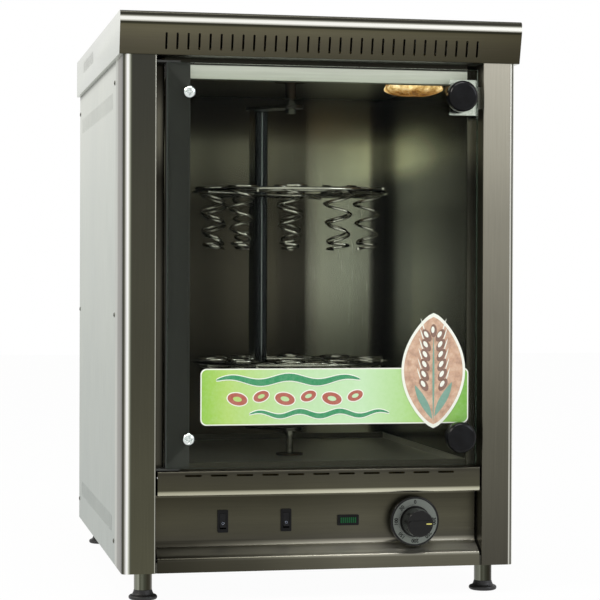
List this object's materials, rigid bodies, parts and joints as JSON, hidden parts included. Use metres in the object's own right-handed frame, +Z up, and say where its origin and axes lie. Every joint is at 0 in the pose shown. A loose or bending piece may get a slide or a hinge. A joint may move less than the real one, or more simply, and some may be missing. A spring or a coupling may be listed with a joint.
{
  "type": "pizza cone oven",
  "caption": "Steel counter-top oven with a glass door and a motor-driven two-tier carousel of spiral wire cone holders.",
  "frame": {"origin": "centre of the bounding box's footprint, on the plane the feet stand on", "axes": "+X to the right seen from the front, +Y from the door to the back, +Z up"},
  "size_m": [0.612, 0.751, 0.871],
  "materials": {
    "brushed_panel": "satin",
    "olive_steel": "satin",
    "post_steel": "satin",
    "chamber_steel": "satin",
    "galvanised": "satin",
    "bright_steel": "polished",
    "chrome_wire": "polished",
    "clear_glass": "polished",
    "amber_glass": "gloss",
    "bulb_glass": "gloss",
    "black_paint": "satin",
    "black_plastic": "satin",
    "black_gloss": "gloss",
    "green_lens": "gloss",
    "dial_silver": "satin",
    "mineral_wool": "matte",
    "bronze": "satin",
    "motor_paint": "satin",
    "white_plastic": "matte",
    "heater_sheath": "matte",
    "rubber": "matte"
  },
  "bodies": {
    "cabinet": {"base_pan": "galvanised", "front_left_post": "post_steel", "front_right_post": "post_steel", "left_side_panel": "brushed_panel", "right_side_panel": "brushed_panel", "back_panel": "galvanised", "panel_screws": "bright_steel", "hood": "olive_steel", "chamber_left_wall": "chamber_steel", "chamber_right_wall": "chamber_steel", "chamber_back_wall": "chamber_steel", "chamber_ceiling": "chamber_steel", "chamber_floor": "chamber_steel", "upper_front_rail": "brushed_panel", "insulation": "mineral_wool", "control_panel": "olive_steel", "switch_housings": "black_plastic", "indicator_bezel": "black_plastic", "indicator_lens": "green_lens", "thermostat_body": "white_plastic", "foot_sleeves": "bright_steel", "upper_hinge_bracket": "bright_steel", "lower_hinge_bracket": "bright_steel", "magnetic_catch": "bright_steel", "top_bearing": "bronze", "floor_bearing": "bronze", "gear_motor": "motor_paint", "motor_bracket": "galvanised", "heating_element": "heater_sheath", "element_clips": "galvanised", "lamp_holder": "white_plastic", "lamp_bulb": "bulb_glass", "lamp_cover": "amber_glass", "terminal_block": "white_plastic", "cable_gland": "black_plastic"},
    "door": {"door_glass": "clear_glass", "hinge_bar": "black_paint", "door_screws": "bright_steel", "strike_plate": "bright_steel", "upper_door_knob": "black_gloss", "lower_door_knob": "black_gloss"},
    "carousel": {"upper_tier_frame": "chrome_wire", "lower_tier_frame": "chrome_wire", "upper_cone_holders": "chrome_wire", "lower_cone_holders": "chrome_wire", "top_arm": "chamber_steel", "bottom_arm": "chamber_steel", "carrier_column": "bright_steel", "pin_nut": "bright_steel", "top_pin": "bright_steel", "spindle": "bright_steel", "output_shaft": "bright_steel"},
    "dial": {"thermostat_knob": "black_plastic", "dial_scale_ring": "dial_silver"},
    "left_switch_rocker": {"left_rocker": "black_gloss"},
    "right_switch_rocker": {"right_rocker": "black_gloss"},
    "front_left_leg": {"front_left_foot": "rubber"},
    "front_right_leg": {"front_right_foot": "rubber"},
    "rear_left_leg": {"rear_left_foot": "rubber"},
    "rear_right_leg": {"rear_right_foot": "rubber"}
  },
  "joints": [
    {"name": "door_hinge", "type": "hinge", "parent": "cabinet", "child": "door", "pos_m": [-0.2215, -0.3335, 0.49775], "axis": [0, 0, -1], "range_deg": [0, 105]},
    {"name": "carousel_spin", "type": "hinge", "parent": "cabinet", "child": "carousel", "pos_m": [0, -0.1005, 0.233], "axis": [0, 0, 1], "continuous": true},
    {"name": "dial_turn", "type": "hinge", "parent": "cabinet", "child": "dial", "pos_m": [0.1475, -0.3205, 0.111], "axis": [0, 1, 0], "range_deg": [0, 270]},
    {"name": "left_switch_tip", "type": "hinge", "parent": "cabinet", "child": "left_switch_rocker", "pos_m": [-0.1453, -0.3165, 0.115], "axis": [1, 0, 0], "range_deg": [0, 16]},
    {"name": "right_switch_tip", "type": "hinge", "parent": "cabinet", "child": "right_switch_rocker", "pos_m": [-0.0486, -0.3165, 0.115], "axis": [1, 0, 0], "range_deg": [0, 16]},
    {"name": "front_left_foot_screw", "type": "slide", "parent": "cabinet", "child": "front_left_leg", "axis": [0, 0, -1], "range_m": [0, 0.015]},
    {"name": "front_right_foot_screw", "type": "slide", "parent": "cabinet", "child": "front_right_leg", "axis": [0, 0, -1], "range_m": [0, 0.015]},
    {"name": "rear_left_foot_screw", "type": "slide", "parent": "cabinet", "child": "rear_left_leg", "axis": [0, 0, -1], "range_m": [0, 0.015]},
    {"name": "rear_right_foot_screw", "type": "slide", "parent": "cabinet", "child": "rear_right_leg", "axis": [0, 0, -1], "range_m": [0, 0.015]}
  ]
}
